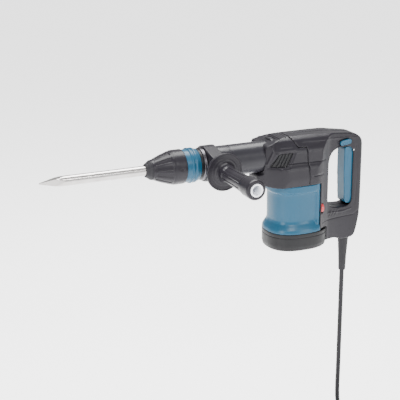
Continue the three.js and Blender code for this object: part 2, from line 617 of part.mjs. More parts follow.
function makeLead() {
  add("mains_cord", sweep(curveOf(leadPoints()), cord.r, 8, 20), "rubber");
  const { x, y, mean, width, height, lift } = coil;
  const bottom = cord.floor + lift;
  add("cord_coil", aboutZ([
    [bottom, mean - width / 2 + 2], [bottom, mean + width / 2 - 2], [bottom + 4, mean + width / 2],
    [bottom + height - 4, mean + width / 2], [bottom + height, mean + width / 2 - 2],
    [bottom + height, mean - width / 2 + 2], [bottom + height - 4, mean - width / 2],
    [bottom + 4, mean - width / 2], [bottom, mean - width / 2 + 2]], x, y, 28), "rubber");
  const { wall: t, half } = tie;
  const from = x + mean - width / 2 - 1.2;
  const to = x + mean + width / 2 + 0.5;
  add("coil_tie", cut(
    box(from - t, to + t, y - half, y + half, cord.floor, bottom + height + lift),
    box(from, to, y - half - 1, y + half + 1, cord.floor + t, bottom + height + lift - t)), "black");
}

// The tail climbs out of the coil's top turn and ends in the plug, which lies on the coil.
const coilTop = cord.floor + coil.lift + coil.height + gap;

function onCoil(deg) {
  const a = (deg * Math.PI) / 180;
  return [coil.x + coil.mean * Math.cos(a), coil.y + coil.mean * Math.sin(a)];
}

const tailPoints = () => [0, 1, 2, 3, 4].map((i) =>
  [...onCoil(plug.heading + 80 - 20 * i), coilTop + cord.r + i * 1.05]);

function makePlug() {
  add("plug_tail", sweep(curveOf(tailPoints()), cord.r, 8, 9), "rubber");
  const [x, y] = onCoil(plug.heading);
  const turn = new THREE.Matrix4().makeRotationZ(((plug.heading - 90) * Math.PI) / 180);
  const place = (g) => g.applyMatrix4(turn).translate(x, y, coilTop + 9);
  const { front, half, pinR, pinY } = plug;
  const plan = rounded([
    [2, -6], [22, -9], [front - 14, -16.5], [front, -17], [front, 17], [front - 14, 16.5], [22, 9],
    [2, 6]], 4);
  add("plug_body", place(slabZ(plan, -half, half)), "black");
  const pin = [[front + gap, 0], [front + gap, pinR], [front + 18, pinR], [front + 19, pinR - 1],
    [front + 19, 0]];
  for (const [side, s] of [["left", -1], ["right", 1]])
    add("plug_pin_" + side, place(lathe(pin, 12).rotateZ(-Math.PI / 2).translate(0, pinY * s, 0)),
      "steel");
}

makeBit();
makeNoseSeal();
makeReleaseCover();
makeChangeRing();
makeHolder();
makeReleaseSpring();
makeNeck();
makeBarrel();
makeMechanism();
makeCrank();
makeMotor();
makeFrontCover();
makeLouvres();
makeMotorHousing();
makeBase();
makeHandle();
makeControls();
makeSideHandle();
makeGuard();
makeLead();
makePlug();

const hammer = new THREE.Group();
tool.position.set(-grip.x, 0, -grip.z);
hammer.add(tool);

export default hammer;
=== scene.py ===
# A 5 kg class demolition hammer with its side handle, a bull-point bit and a mains lead.
# Sizes are in millimetres on the tool's own axis: x back from the nose, y across, z up from the axis.
import math
import bpy
import bmesh
import numpy as np
from mathutils import Matrix, Vector


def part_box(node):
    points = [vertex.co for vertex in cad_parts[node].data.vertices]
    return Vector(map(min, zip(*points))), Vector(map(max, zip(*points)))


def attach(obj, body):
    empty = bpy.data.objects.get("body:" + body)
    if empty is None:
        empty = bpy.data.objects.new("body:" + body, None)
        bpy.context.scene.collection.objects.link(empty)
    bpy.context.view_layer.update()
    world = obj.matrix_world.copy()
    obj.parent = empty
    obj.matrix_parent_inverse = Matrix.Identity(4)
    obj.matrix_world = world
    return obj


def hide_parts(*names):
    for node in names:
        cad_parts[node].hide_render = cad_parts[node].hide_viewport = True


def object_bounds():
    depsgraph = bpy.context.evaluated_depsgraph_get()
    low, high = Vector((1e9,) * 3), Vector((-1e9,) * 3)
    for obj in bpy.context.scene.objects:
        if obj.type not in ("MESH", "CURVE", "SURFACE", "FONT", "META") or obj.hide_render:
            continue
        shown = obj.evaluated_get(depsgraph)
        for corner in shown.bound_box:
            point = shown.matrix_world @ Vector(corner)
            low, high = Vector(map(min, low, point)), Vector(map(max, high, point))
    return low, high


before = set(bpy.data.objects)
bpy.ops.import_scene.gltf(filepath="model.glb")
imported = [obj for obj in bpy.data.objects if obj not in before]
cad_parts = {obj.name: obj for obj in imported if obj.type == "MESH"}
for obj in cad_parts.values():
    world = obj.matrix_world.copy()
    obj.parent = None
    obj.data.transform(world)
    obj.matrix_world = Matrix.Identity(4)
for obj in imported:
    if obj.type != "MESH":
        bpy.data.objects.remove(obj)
cadLow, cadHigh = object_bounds()
print("frame loaded:", len(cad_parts), "nodes")

noseLow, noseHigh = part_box("nose_seal")
mm = 0.001
noseFront = 7  # station of the nose cap's front edge
toolOrigin = Vector((noseLow.x - noseFront * mm, 0.0, (noseLow.z + noseHigh.z) / 2))
tau = 2 * math.pi


def at(x, y, z):
    return toolOrigin + Vector((x, y, z)) * mm


def linear(code):
    parts = [int(code[i:i + 2], 16) / 255 for i in (0, 2, 4)]
    return tuple(c / 12.92 if c < 0.04045 else ((c + 0.055) / 1.055) ** 2.4 for c in parts) + (1.0,)


shot = dict(azimuth=-24.96, elevation=17.31, distance=2200, target=(115.4, 0, -68.5), focal=108.4, sensor=36,
            farEnd=50)


def makeCamera():
    az, el = math.radians(shot["azimuth"]), math.radians(shot["elevation"])
    back = Vector((math.sin(az) * math.cos(el), -math.cos(az) * math.cos(el), math.sin(el)))
    data = bpy.data.cameras.new("camera")
    data.lens = shot["focal"]
    data.sensor_width = shot["sensor"]
    data.clip_end = shot["farEnd"]
    camera = bpy.data.objects.new("camera", data)
    camera.location = at(*shot["target"]) + back * shot["distance"] * mm
    camera.rotation_euler = (-back).to_track_quat("-Z", "Y").to_euler()
    bpy.context.scene.collection.objects.link(camera)
    bpy.context.scene.camera = camera


studio = dict(
    sky=0.6, aim=(-0.15, 0, 0),
    lamps=[  # name, place from the object, size, power
        ("topLamp", (-0.2, 0.5, 1.7), (2.0, 1.0), 110),
        ("frontLamp", (-1.9, -1.2, 0.5), (0.6, 1.3), 30),
        ("sideLamp", (0.9, -1.9, 0.5), (0.2, 1.4), 18),
        ("highLamp", (-0.35, -1.7, 1.25), (0.9, 0.3), 26),
    ],
    floorSize=26.0, floorGlow=2.0, floorDrop=0.001,
)


def makeStudio():
    world = bpy.data.worlds.new("softRoom")
    world.use_nodes = True
    background = world.node_tree.nodes["Background"]
    background.inputs["Color"].default_value = (1.0, 1.0, 1.0, 1.0)
    background.inputs["Strength"].default_value = studio["sky"]
    bpy.context.scene.world = world
    for name, place, size, power in studio["lamps"]:
        lamp = bpy.data.lights.new(name, "AREA")
        lamp.shape = "RECTANGLE"
        lamp.size, lamp.size_y = size
        lamp.energy = power
        holder = bpy.data.objects.new(name, lamp)
        holder.location = place
        holder.rotation_euler = (Vector(studio["aim"]) - Vector(place)).to_track_quat("-Z", "Y").to_euler()
        bpy.context.scene.collection.objects.link(holder)
    half = studio["floorSize"] / 2
    corners = [(-half, -half), (half, -half), (half, half), (-half, half)]
    sheet = bpy.data.meshes.new("floor")
    sheet.from_pydata([(x, y, cadLow.z - studio["floorDrop"]) for x, y in corners], [], [(0, 1, 2, 3)])
    floor = bpy.data.objects.new("floor", sheet)
    bpy.context.scene.collection.objects.link(floor)
    paint = newLook("floorPaint", "f4f4f4", 0.9)
    shader = paint.node_tree.nodes["Principled BSDF"]
    shader.inputs["Emission Color"].default_value = (1.0, 1.0, 1.0, 1.0)
    shader.inputs["Emission Strength"].default_value = studio["floorGlow"]
    sheet.materials.append(paint)


patterns = dict(detail=4.0, fineDetail=3.0, bump=0.6, roughShare=0.14, roughScale=2.3, roughDetail=2.0)


def step(tree, kind, inputs, **settings):
    # adds a node: a socket is linked to another one or set to a plain value
    node = tree.nodes.new(kind)
    for label, value in settings.items():
        setattr(node, label, value)
    for label, value in inputs.items():
        if isinstance(value, bpy.types.NodeSocket):
            tree.links.new(value, node.inputs[label])
        else:
            node.inputs[label].default_value = value
    return node


def noise(tree, scale, detail, stretch=(1, 1, 1)):
    spot = step(tree, "ShaderNodeTexCoord", {}).outputs["Object"]
    stretched = step(tree, "ShaderNodeMapping", {"Vector": spot, "Scale": stretch}).outputs["Vector"]
    return step(tree, "ShaderNodeTexNoise", {
        "Vector": stretched, "Scale": scale, "Detail": detail}).outputs["Fac"]


def spreadColours(tree, shader, colour, rough, second, size, share):
    # two close colours in soft clouds, with a little change of roughness
    p = patterns
    ramp = step(tree, "ShaderNodeValToRGB", {"Fac": noise(tree, size, p["detail"])})
    for stop, side, paint in zip(ramp.color_ramp.elements, (-1, 1), (colour, second)):
        stop.position = 0.5 + side * share / 2
        stop.color = linear(paint)
    tree.links.new(ramp.outputs["Color"], shader.inputs["Base Color"])
    level = step(tree, "ShaderNodeMapRange", {
        "Value": noise(tree, size * p["roughScale"], p["roughDetail"]),
        "To Min": rough * (1 - p["roughShare"]), "To Max": min(1.0, rough * (1 + p["roughShare"]))})
    tree.links.new(level.outputs["Result"], shader.inputs["Roughness"])


def newLook(name, colour, rough, metal=0.0, grain=None, streak=None, spread=None, shine=0.5):
    # grain: (size per metre, height); streak: (along, across, height); spread: (second colour, size, share)
    look = bpy.data.materials.new(name)
    look.use_nodes = True
    tree = look.node_tree
    shader = tree.nodes["Principled BSDF"]
    for label, value in (("Base Color", linear(colour)), ("Roughness", rough), ("Metallic", metal),
                         ("Specular IOR Level", shine)):
        shader.inputs[label].default_value = value
    if spread:
        spreadColours(tree, shader, colour, rough, *spread)
    if grain or streak:
        size, height = grain or (1.0, streak[2])
        pattern = noise(tree, size, patterns["fineDetail"]) if grain else (
            noise(tree, size, patterns["detail"], (streak[0], streak[1], streak[1])))
        bump = step(tree, "ShaderNodeBump", {
            "Height": pattern, "Strength": patterns["bump"], "Distance": height})
        tree.links.new(bump.outputs["Normal"], shader.inputs["Normal"])
    return look


looks = dict(
    charcoal=newLook("charcoalPlastic", "1b191e", 0.33, shine=0.2, grain=(1500, 0.00008),
                     spread=("1f1d22", 30, 0.5)),
    darkPlastic=newLook("blackPlastic", "161618", 0.4, shine=0.2, grain=(1700, 0.00008),
                        spread=("1a1a1c", 40, 0.5)),
    rubber=newLook("softRubber", "1a191c", 0.55, shine=0.22, grain=(900, 0.0001), spread=("201f23", 45, 0.6)),
    blue=newLook("bluePlastic", "1c4a62", 0.33, shine=0.26, grain=(1100, 0.00004),
                 spread=("1a475e", 18, 0.6)),
    red=newLook("redPlastic", "a82c30", 0.28),
    pale=newLook("palePlastic", "eef0f4", 0.35, spread=("e4e8ee", 25, 0.5)),
    steel=newLook("groundSteel", "c9c6c4", 0.26, metal=1.0, streak=(18, 900, 0.00006),
                  spread=("b5b1af", 60, 0.6)),
    darkSteel=newLook("oiledSteel", "4a484d", 0.34, metal=1.0, grain=(600, 0.00003),
                      spread=("615f63", 55, 0.5)),
    castMetal=newLook("castAluminium", "9b9a9c", 0.46, metal=1.0, grain=(420, 0.0002),
                      spread=("8c8b8e", 35, 0.6)),
    darkPaint=newLook("coatedAluminium", "201f24", 0.3, shine=0.24, grain=(700, 0.00008),
                      spread=("242328", 40, 0.5)),
    copper=newLook("copperWire", "b9703d", 0.38, metal=1.0, grain=(500, 0.0002)),
    carbon=newLook("carbonBlock", "303032", 0.8, grain=(900, 0.0001)),
    board=newLook("circuitBoard", "2c6247", 0.5, spread=("26573f", 120, 0.3)),
)


def addPiece(name, data, look, body, smooth=35):
    data.materials.clear()
    data.materials.append(look)
    data.polygons.foreach_set("use_smooth", [True] * len(data.polygons))
    data.set_sharp_from_angle(angle=math.radians(smooth))
    piece = placed(name, data)
    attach(piece, body)
    return piece


def outward(data):
    shape = bmesh.new()
    shape.from_mesh(data)
    bmesh.ops.remove_doubles(shape, verts=shape.verts, dist=1e-6)
    bmesh.ops.recalc_face_normals(shape, faces=shape.faces)
    shape.to_mesh(data)
    shape.free()
    return data


def filleted(profile, r, steps=3):
    # rounds the corners of an open or closed outline of (station, radius) pairs
    closed = profile[0] == profile[-1]
    points = [Vector(p) for p in (profile[:-1] if closed else profile)]
    out = []
    for i, here in enumerate(points):
        if not closed and i in (0, len(points) - 1):
            out.append(here)
            continue
        before, after = points[i - 1], points[(i + 1) % len(points)]
        reach = min(r, (here - before).length * 0.45, (after - here).length * 0.45)
        a = here + (before - here).normalized() * reach
        b = here + (after - here).normalized() * reach
        for k in range(steps + 1):
            t = k / steps
            out.append(a * (1 - t) ** 2 + here * 2 * t * (1 - t) + b * t * t)
    pairs = [(p.x, p.y) for p in out]
    return pairs + pairs[:1] if closed else pairs


def divided(profile, longest):
    out = []
    for (a, b), (c, d) in zip(profile, profile[1:]):
        count = max(1, math.ceil(math.hypot(c - a, d - b) / longest))
        out += [(a + (c - a) * k / count, b + (d - b) * k / count) for k in range(count)]
    return out + [profile[-1]]


axes = dict(  # station, then the two directions across it
    x=lambda s, a, b: (s, a, b),
    y=lambda s, a, b: (a, -s, b),  # stations count towards the user's left hand, -y
    z=lambda s, a, b: (a, b, s),
)


def turnedMesh(name, profile, sides, axis="x", centre=(0, 0, 0), carve=None, start=0.0):
    # spins (station, radius) pairs; carve(station, radius, angle) may change each radius
    closed = profile[0] == profile[-1]
    rows = profile[:-1] if closed else profile
    points, faces, rings = [], [], []
    for station, radius in rows:
        if radius < 1e-6 and not closed:
            rings.append([len(points)] * sides)
            points.append(at(*(Vector(axes[axis](station, 0, 0)) + Vector(centre))))
            continue
        rings.append(list(range(len(points), len(points) + sides)))
        for i in range(sides):
            angle = tau * i / sides + start
            r = carve(station, radius, angle) if carve else radius
            spot = axes[axis](station, r * math.cos(angle), r * math.sin(angle))
            points.append(at(*(Vector(spot) + Vector(centre))))
    pairs = list(zip(rings, rings[1:])) + ([(rings[-1], rings[0])] if closed else [])
    for a, b in pairs:
        for i in range(sides):
            j = (i + 1) % sides
            corners = [a[i], a[j], b[j], b[i]]
            face = [c for k, c in enumerate(corners) if c not in corners[:k]]
            if len(face) > 2:
                faces.append(face)
    data = bpy.data.meshes.new(name)
    data.from_pydata(points, [], faces)
    return outward(data)


def cadCopy(name, *nodes):
    shape = bmesh.new()
    for node in nodes:
        shape.from_mesh(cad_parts[node].data)
    bmesh.ops.remove_doubles(shape, verts=shape.verts, dist=2e-6)
    data = bpy.data.meshes.new(name)
    shape.to_mesh(data)
    shape.free()
    return data


def evaluated(piece):
    graph = bpy.context.evaluated_depsgraph_get()
    data = bpy.data.meshes.new_from_object(piece.evaluated_get(graph), depsgraph=graph)
    bpy.data.objects.remove(piece)
    return data


def placed(name, data):
    piece = bpy.data.objects.new(name, data)
    bpy.context.scene.collection.objects.link(piece)
    return piece


remeshing = dict(coarser=1.6, softness=0.5)


def moulded(name, data, voxel, rounds):
    # melts a hard-edged solid into a moulded one: fine remesh, then smoothing
    piece = placed(name, data)
    remesh = piece.modifiers.new("remesh", "REMESH")
    remesh.mode = "VOXEL"
    remesh.voxel_size = voxel * mm * 1
    soft = piece.modifiers.new("soft", "SMOOTH")
    soft.factor = remeshing["softness"]
    soft.iterations = rounds
    return evaluated(piece)


def thinned(name, data, keep):
    piece = placed(name, data)
    thin = piece.modifiers.new("thin", "DECIMATE")
    thin.ratio = keep
    return evaluated(piece)


def ringSkin(name, rings, looped):
    # a skin over rings of equally many points, looped back to the first ring or capped at both ends
    sides, count = len(rings[0]), len(rings)
    faces = []
    for k in range(count if looped else count - 1):
        here, following = k * sides, (k + 1) % count * sides
        for i in range(sides):
            j = (i + 1) % sides
            faces.append((here + i, here + j, following + j, following + i))
    if not looped:
        faces += [tuple(range(sides)), tuple((count - 1) * sides + i for i in range(sides))]
    data = bpy.data.meshes.new(name)
    data.from_pydata([spot for ring in rings for spot in ring], [], faces)
    return outward(data)


lead = dict(radius=4.5, length=5.0, outer=71.5, inner=53.5, columns=3, turns=11, endAngle=160, perTurn=24,
            centre=(352.5, -92), low=-573.5, stepShare=6, climbFrom=0.15, climbOver=0.3, climbHigh=9.3,
            tailFrom=190, tailTo=120, tailTurn=-10, tailLow=-537.2, tailRise=0.53)
coilMiddle = (lead["outer"] + lead["inner"]) / 2
leadRoute = [  # the hanging stretch and the bend on to the floor level, in metres from the grip
    (-0.011, 0.0, -0.1923), (-0.011, 0.0, -0.2300), (-0.011, 0.0, -0.2750), (-0.011, 0.0, -0.3200),
    (-0.011, 0.0, -0.3650), (-0.011, 0.0, -0.4100), (-0.011, 0.0, -0.4545), (-0.011, -0.0019, -0.4727),
    (-0.011, -0.0074, -0.4860), (-0.011, -0.0161, -0.4974), (-0.011, -0.0275, -0.5061),
    (-0.011, -0.0408, -0.5116), (-0.011, -0.0550, -0.5135), (-0.011, -0.0740, -0.5135),
]


def eased(t):
    t = min(1.0, max(0.0, t))
    return t * t * (3 - 2 * t)


def lane(k):
    # three turns to a layer; odd layers go back outwards
    column, layer = k % lead["columns"], k // lead["columns"]
    if layer % 2:
        column = lead["columns"] - 1 - column
    return lead["outer"] - column * 2 * lead["radius"], lead["low"] + layer * 2 * lead["radius"]


def coilSpot(turn):
    # each step to the next lane is taken in the first sixth of a turn, and the last turn climbs on top
    k = int(turn)
    (r0, z0), (r1, z1) = lane(max(k - 1, 0)), lane(k)
    t = eased((turn - k) * lead["stepShare"])
    r, z = r0 + (r1 - r0) * t, z0 + (z1 - z0) * t
    climb = eased((turn - lead["turns"] - lead["climbFrom"]) / lead["climbOver"])
    return r + (coilMiddle - r) * climb, z + lead["climbHigh"] * climb


def aroundCoil(radius, angle, z):
    x, y = lead["centre"]
    return x + radius * math.cos(angle), y + radius * math.sin(angle), z


def tailSpots():
    # the last sixth of a turn lies on top of the coil and reaches the back of the plug
    angles = range(lead["tailFrom"], lead["tailTo"] - 1, lead["tailTurn"])
    return [aroundCoil(coilMiddle, math.radians(a), lead["tailLow"] + lead["tailRise"] * k)
            for k, a in enumerate(angles)]


def makeLead():
    spots = [Vector(p) for p in leadRoute]
    whole = lead["turns"] + lead["endAngle"] / 360
    steps = int(whole * lead["perTurn"])
    for i in range(steps):
        turn = whole * i / steps
        r, z = coilSpot(turn)
        spots.append(at(*aroundCoil(r, -tau * turn, z)))
    spots += [at(*p) for p in tailSpots()]
    line = bpy.data.curves.new("mainsLead", "CURVE")
    line.dimensions = "3D"
    line.bevel_depth = lead["radius"] * mm
    line.bevel_resolution = 4
    line.use_fill_caps = True
    line.resolution_u = 4
    spline = line.splines.new("BEZIER")
    spline.bezier_points.add(len(spots) - 1)
    for point, spot in zip(spline.bezier_points, spots):
        point.co = spot
        point.handle_left_type = point.handle_right_type = "AUTO"
    line.materials.append(looks["rubber"])
    piece = placed("mains_lead", line)
    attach(piece, "machine")
    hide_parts("mains_cord", "cord_coil", "plug_tail")
    return piece, spots[0]


plugSize = dict(angle=120, middle=-532.7, sides=48, roundTo=18, squareOver=14, squareness=1.6)
plugStations = [  # (along, half width, half thickness) from the lead's end to the face that meets the socket
    (0.5, 5.6, 5.6), (1.5, 6.4, 6.2), (7, 6.6, 6.4), (7.6, 7.4, 7.0), (11, 7.5, 7.1), (11.6, 7.0, 6.7),
    (13, 7.2, 6.9), (13.6, 8.2, 7.4), (17, 8.6, 7.5), (17.6, 8.2, 7.2), (20, 8.9, 7.4), (26, 12.4, 8.1),
    (31, 15.8, 8.5), (36, 16.8, 8.6), (42, 16.9, 8.6), (43.4, 16.2, 8.0), (43.8, 15.0, 7.0),
]


def makePlug():
    s = plugSize
    a = math.radians(s["angle"])
    centre = Vector(aroundCoil(coilMiddle, a, s["middle"]))
    ahead = Vector((math.sin(a), -math.cos(a), 0))  # the tail runs clockwise
    across = Vector((-ahead.y, ahead.x, 0))
    rings = []
    for along, wide, thick in plugStations:
        power = 2 + s["squareness"] * eased((along - s["roundTo"]) / s["squareOver"])
        ring = []
        for i in range(s["sides"]):
            c, k = math.cos(tau * i / s["sides"]), math.sin(tau * i / s["sides"])
            u = wide * math.copysign(abs(c) ** (2 / power), c)
            v = thick * math.copysign(abs(k) ** (2 / power), k)
            ring.append(at(*(centre + ahead * along + across * u + Vector((0, 0, v)))))
        rings.append(ring)
    plug = addPiece("plug", ringSkin("plug", rings, False), looks["darkPlastic"], "machine",
                    50)
    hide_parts("plug_body")
    return plug


tieSize = dict(halfWide=14.6, under=4.9, over=31.9, corner=5, wall=1.3, halfStrap=2.4, arcSteps=6)


def makeTie():
    # a flat strap round the coil's section
    s = tieSize
    low, high = lead["low"] - s["under"], lead["low"] + s["over"]
    halfHigh, corner, half = (high - low) / 2, s["corner"], s["halfStrap"]
    rings = []
    for sx, sz, start in ((1, -1, -90), (1, 1, 0), (-1, 1, 90), (-1, -1, 180)):
        for k in range(s["arcSteps"] + 1):
            a = math.radians(start + 90 / s["arcSteps"] * k)
            u = sx * (s["halfWide"] - corner) + corner * math.cos(a)
            v = sz * (halfHigh - corner) + corner * math.sin(a)
            outwards = Vector((u, v)).normalized()
            rings.append([at(lead["centre"][0] + coilMiddle + u + outwards.x * out, lead["centre"][1] + side,
                             (low + high) / 2 + v + outwards.y * out)
                          for side, out in ((-half, 0), (half, 0), (half, s["wall"]), (-half, s["wall"]))])
    tie = addPiece("coil_strap", ringSkin("coilTie", rings, True), looks["darkPlastic"], "machine",
                   40)
    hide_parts("coil_tie")
    return tie


makeCamera()
makeStudio()
mainsLead, leadExit = makeLead()
plugPieces = [makePlug(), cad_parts["plug_pin_left"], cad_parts["plug_pin_right"]]
coilTie = makeTie()
print("camera, light, floor and mains lead made")


bitSize = dict(tip=-188, point=45, rear=75, radius=9, slotFrom=9, slotHalf=2.4, slotFloor=6.4,
               grooveFrom=29.5, grooveTo=63.5, grooveHalf=4.4, grooveFloor=5.8, chamfer=1.5, tipHalf=1,
               between=[-120, -80, -40, 0, 4])


def bitRadius(x, radius, angle):
    s = bitSize
    c, k = abs(math.cos(angle)), abs(math.sin(angle))
    if x < s["tip"] + s["point"] + 1:  # four ground flats run out into the round shank
        half = s["tipHalf"] + (s["radius"] * 1.02 - s["tipHalf"]) * (x - s["tip"]) / s["point"]
        radius = min(radius, max(half, s["tipHalf"]) / max(c, k))
    if x > s["slotFrom"] and s["radius"] * c < s["slotHalf"]:
        radius = min(radius, s["slotFloor"] / k)
    if s["grooveFrom"] < x < s["grooveTo"] and s["radius"] * k < s["grooveHalf"]:
        radius = min(radius, s["grooveFloor"] / c)
    return radius


def turnedPiece(name, profile, look, slotName, body, stands, sides=96, fillet=0.4, longest=None, smooth=35,
                **how):
    rows = filleted(profile, fillet) if fillet else profile
    rows = divided(rows, longest) if longest else rows
    piece = addPiece(name, turnedMesh(name, rows, sides, **how), looks[look], body, smooth)
    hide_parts(*stands)


def makeBit():
    s = bitSize
    edges = [s["slotFrom"], s["grooveFrom"], s["grooveTo"]]
    stations = [s["tip"] + i * 2.5 for i in range(19)] + s["between"]
    stations += [e + d for e in edges for d in (-0.05, 0.05)] + [s["rear"] - s["chamfer"]]
    profile = [(s["tip"], 0)] + [(x, s["radius"]) for x in sorted(stations)]
    profile += [(s["rear"], s["radius"] - s["chamfer"]), (s["rear"], 0)]
    turnedPiece("bull_point", profile, "steel", "bright_steel", "bit", ["bull_point_bit"], fillet=0,
                smooth=12, carve=bitRadius)


chuck = dict(scallops=16, scallopDepth=0.45, scallopTo=11, flutes=12, fluteFrom=22, fluteTo=52,
             fluteDepth=1.5, fluteShare=0.62, windows=3, windowTurn=0.487, windowAt=67.5, windowLong=9,
             windowWide=4.6, windowDepth=1.2)


def noseRadius(x, radius, angle):
    s = chuck
    if radius <= 10:
        return radius  # the bore stays round
    share = eased((s["scallopTo"] - x) / 3) * (1 - abs(math.cos(s["scallops"] * angle / 2)))
    return radius - s["scallopDepth"] * share


def coverRadius(x, radius, angle):
    s = chuck
    if radius < outerCone(x) - 0.8:
        return radius  # the inside stays round
    along = eased((x - s["fluteFrom"]) / 3) * eased((s["fluteTo"] - x) / 1.6)
    part = abs((angle * s["flutes"] / tau) % 1 - 0.5) * 2  # 0 in a flute's middle, 1 on the rib
    depth = s["fluteDepth"] * along * eased((s["fluteShare"] - part) / 0.12 + 0.5)
    for k in range(s["windows"]):
        aside = (angle - tau * (k / s["windows"] + s["windowTurn"]) + math.pi) % tau - math.pi
        spot = math.hypot((x - s["windowAt"]) / s["windowLong"] * 2, aside * radius / s["windowWide"] * 2)
        depth = max(depth, s["windowDepth"] * eased((1.15 - spot) / 0.3))
    return radius - depth


coneRows = [(17.3, 17.7), (19, 18.5), (20.5, 18.3), (38, 25.2), (54, 30.3), (58, 31.3), (62, 31.5),
            (78, 31.5)]


def outerCone(x):
    return float(np.interp(x, *zip(*coneRows)))


def makeChuck():
    turnedPiece("nose_cap", [
        (7, 9.5), (7, 11.5), (8.5, 12.6), (10.4, 13.7), (10.8, 13.5), (11.4, 13.9), (11.8, 14.6),
        (14.5, 16.4), (15.8, 17.6), (17, 17.8), (17, 13), (13, 13), (13, 9.5), (7, 9.5)],
        "rubber", "soft_rubber", "holder", ["nose_seal"], sides=128, longest=0.8, carve=noseRadius)
    turnedPiece("chuck_cover", [
        (17.3, 15.3), (17.3, 17.7), (19, 18.5), (20.5, 18.3), (38, 25.2), (53.4, 30.1), (54.2, 29.6),
        (55, 30), (58, 31.3), (62, 31.5), (77, 31.5), (78, 30.9), (78, 30.5), (62, 30.5), (57, 28.2),
        (53, 15), (49, 15), (49, 26), (38, 22.8), (17.3, 15.3)],
        "charcoal", "charcoal_plastic", "release_cover", ["release_cover"], sides=240, longest=0.9,
        carve=coverRadius)
    turnedPiece("blue_ring", [
        (78.3, 20.3), (78.3, 29.5), (78.8, 30), (88, 30), (88.4, 30.5), (89.2, 32.2), (91.6, 32.2),
        (92.8, 30.4), (93.8, 30.2), (95.2, 30.4), (96.4, 31.9), (99.2, 31.9), (100.6, 30.2), (102, 30),
        (103.6, 29.6), (106.1, 29.1), (106.6, 28), (106.6, 20.3), (78.3, 20.3)],
        "blue", "blue_plastic", "change_ring", ["change_ring"], fillet=0.7)
    turnedPiece("lock_band", [
        (107.2, 20.6), (107.2, 28.1), (107.6, 28.4), (111.6, 28.4), (112, 28.1), (112, 20.6), (107.2, 20.6)],
        "darkPlastic", "soft_rubber", "machine", ["lock_ring"])
    turnedPiece("neck_ring", [
        (112.3, 20.6), (112.3, 28.2), (113.2, 29.6), (114.6, 29.8), (115, 29.2), (115.8, 29.2), (116.2, 29.8),
        (118.1, 29.8), (118.7, 29.2), (118.7, 20.6), (112.3, 20.6)],
        "darkSteel", "dark_steel", "machine", ["front_ring"], fillet=0.3)
    turnedPiece("barrel_tube", [
        (119, 20.5), (119, 25.6), (119.4, 26), (144, 26), (144, 28.2), (145, 29), (168, 29), (168.6, 28.4),
        (170, 28.4), (170.6, 29), (254, 29), (254, 33.4), (254.6, 34), (261.4, 34), (262, 33.4), (262, 24),
        (247, 24), (247, 21.5), (149.3, 21.5), (149.3, 20.5), (119, 20.5)],
        "darkPaint", "coated_aluminium", "machine", ["barrel"], fillet=0.3)


makeBit()
makeChuck()
print("bit, chuck and barrel made")


handle = dict(middle=131.5, flange=64, end=192, panels=6, panelFrom=84, panelTo=154, panelDepth=1.25,
              panelShare=0.66)


def gripRadius(y, radius, angle):
    s = handle
    if radius < 13:
        return radius
    part = abs(((angle + math.radians(90)) * s["panels"] / tau) % 1 - 0.5) * 2
    narrow = s["panelShare"] * (1 - 0.25 * eased((s["panelFrom"] + 8 - y) / 8))
    along = eased((y - s["panelFrom"]) / 4) * eased((s["panelTo"] - y) / 4)
    return radius - s["panelDepth"] * along * eased((narrow - part) / 0.16 + 0.5)


def makeSideHandle():
    s = handle
    f, end, centre = s["flange"], s["end"], (s["middle"], 0, 0)
    turnedPiece("side_grip_sleeve", [
        (f, 11.9), (f, 32.7), (f + 1.4, 34.4), (f + 4.8, 34.6), (f + 6.2, 33.5), (f + 6.3, 32.3),
        (f + 5.5, 31.3), (f + 5.2, 25.4), (f + 5.9, 24.4), (f + 6.4, 20.6), (f + 7.6, 18.8), (f + 12, 16),
        (90, 15), (128, 15.6), (152, 16.4), (158, 16.8), (163, 17.9), (end - 9, 18.4), (end - 5, 18.4),
        (end - 1.6, 17.4), (end, 15.4), (end, 11.9), (f, 11.9)],
        "charcoal", "charcoal_plastic", "side_grip", ["side_grip"], axis="y", centre=centre, sides=192,
        fillet=0.9, longest=1.0, carve=gripRadius)
    turnedPiece("side_grip_tube", [
        (f + 1, 4.3), (f + 1, 11.6), (end + 0.2, 11.6), (end + 0.8, 11.1), (end + 0.8, 9.2), (end + 0.2, 8.6),
        (101, 8.6), (101, 4.3), (f + 1, 4.3)],
        "pale", "pale_plastic", "side_grip", ["grip_core"], axis="y", centre=centre)
    turnedPiece("side_handle_seat", [
        (56.3, 4.3), (56.3, 16.2), (57, 17), (59, 17.2), (59.6, 16.9), (60.4, 17.1), (63, 18.9), (63.7, 18.9),
        (63.7, 4.3), (56.3, 4.3)],
        "darkPlastic", "black_plastic", "side_handle", ["handle_base"], axis="y", centre=centre)
    data = thinned("side_clamp", moulded("side_clamp", cadCopy("side_clamp", "clamp_band"), 0.8, 5), 0.6)
    clamp = addPiece("side_clamp", data, looks["charcoal"], "side_handle", 60)
    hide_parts("clamp_band")


makeSideHandle()
print("side handle made")


def away(px, pz, line):
    # distance from many points to a bent line
    best = np.full(px.shape, 1e9)
    for (ax, az), (bx, bz) in zip(line, line[1:]):
        dx, dz = bx - ax, bz - az
        t = np.clip(((px - ax) * dx + (pz - az) * dz) / (dx * dx + dz * dz), 0, 1)
        best = np.minimum(best, np.hypot(px - ax - t * dx, pz - az - t * dz))
    return best


def within(px, pz, loop):
    inside = np.zeros(px.shape, bool)
    for (ax, az), (bx, bz) in zip(loop, loop[1:] + loop[:1]):
        if az != bz:
            inside ^= ((az > pz) != (bz > pz)) & (px < (bx - ax) * (pz - az) / (bz - az) + ax)
    return inside


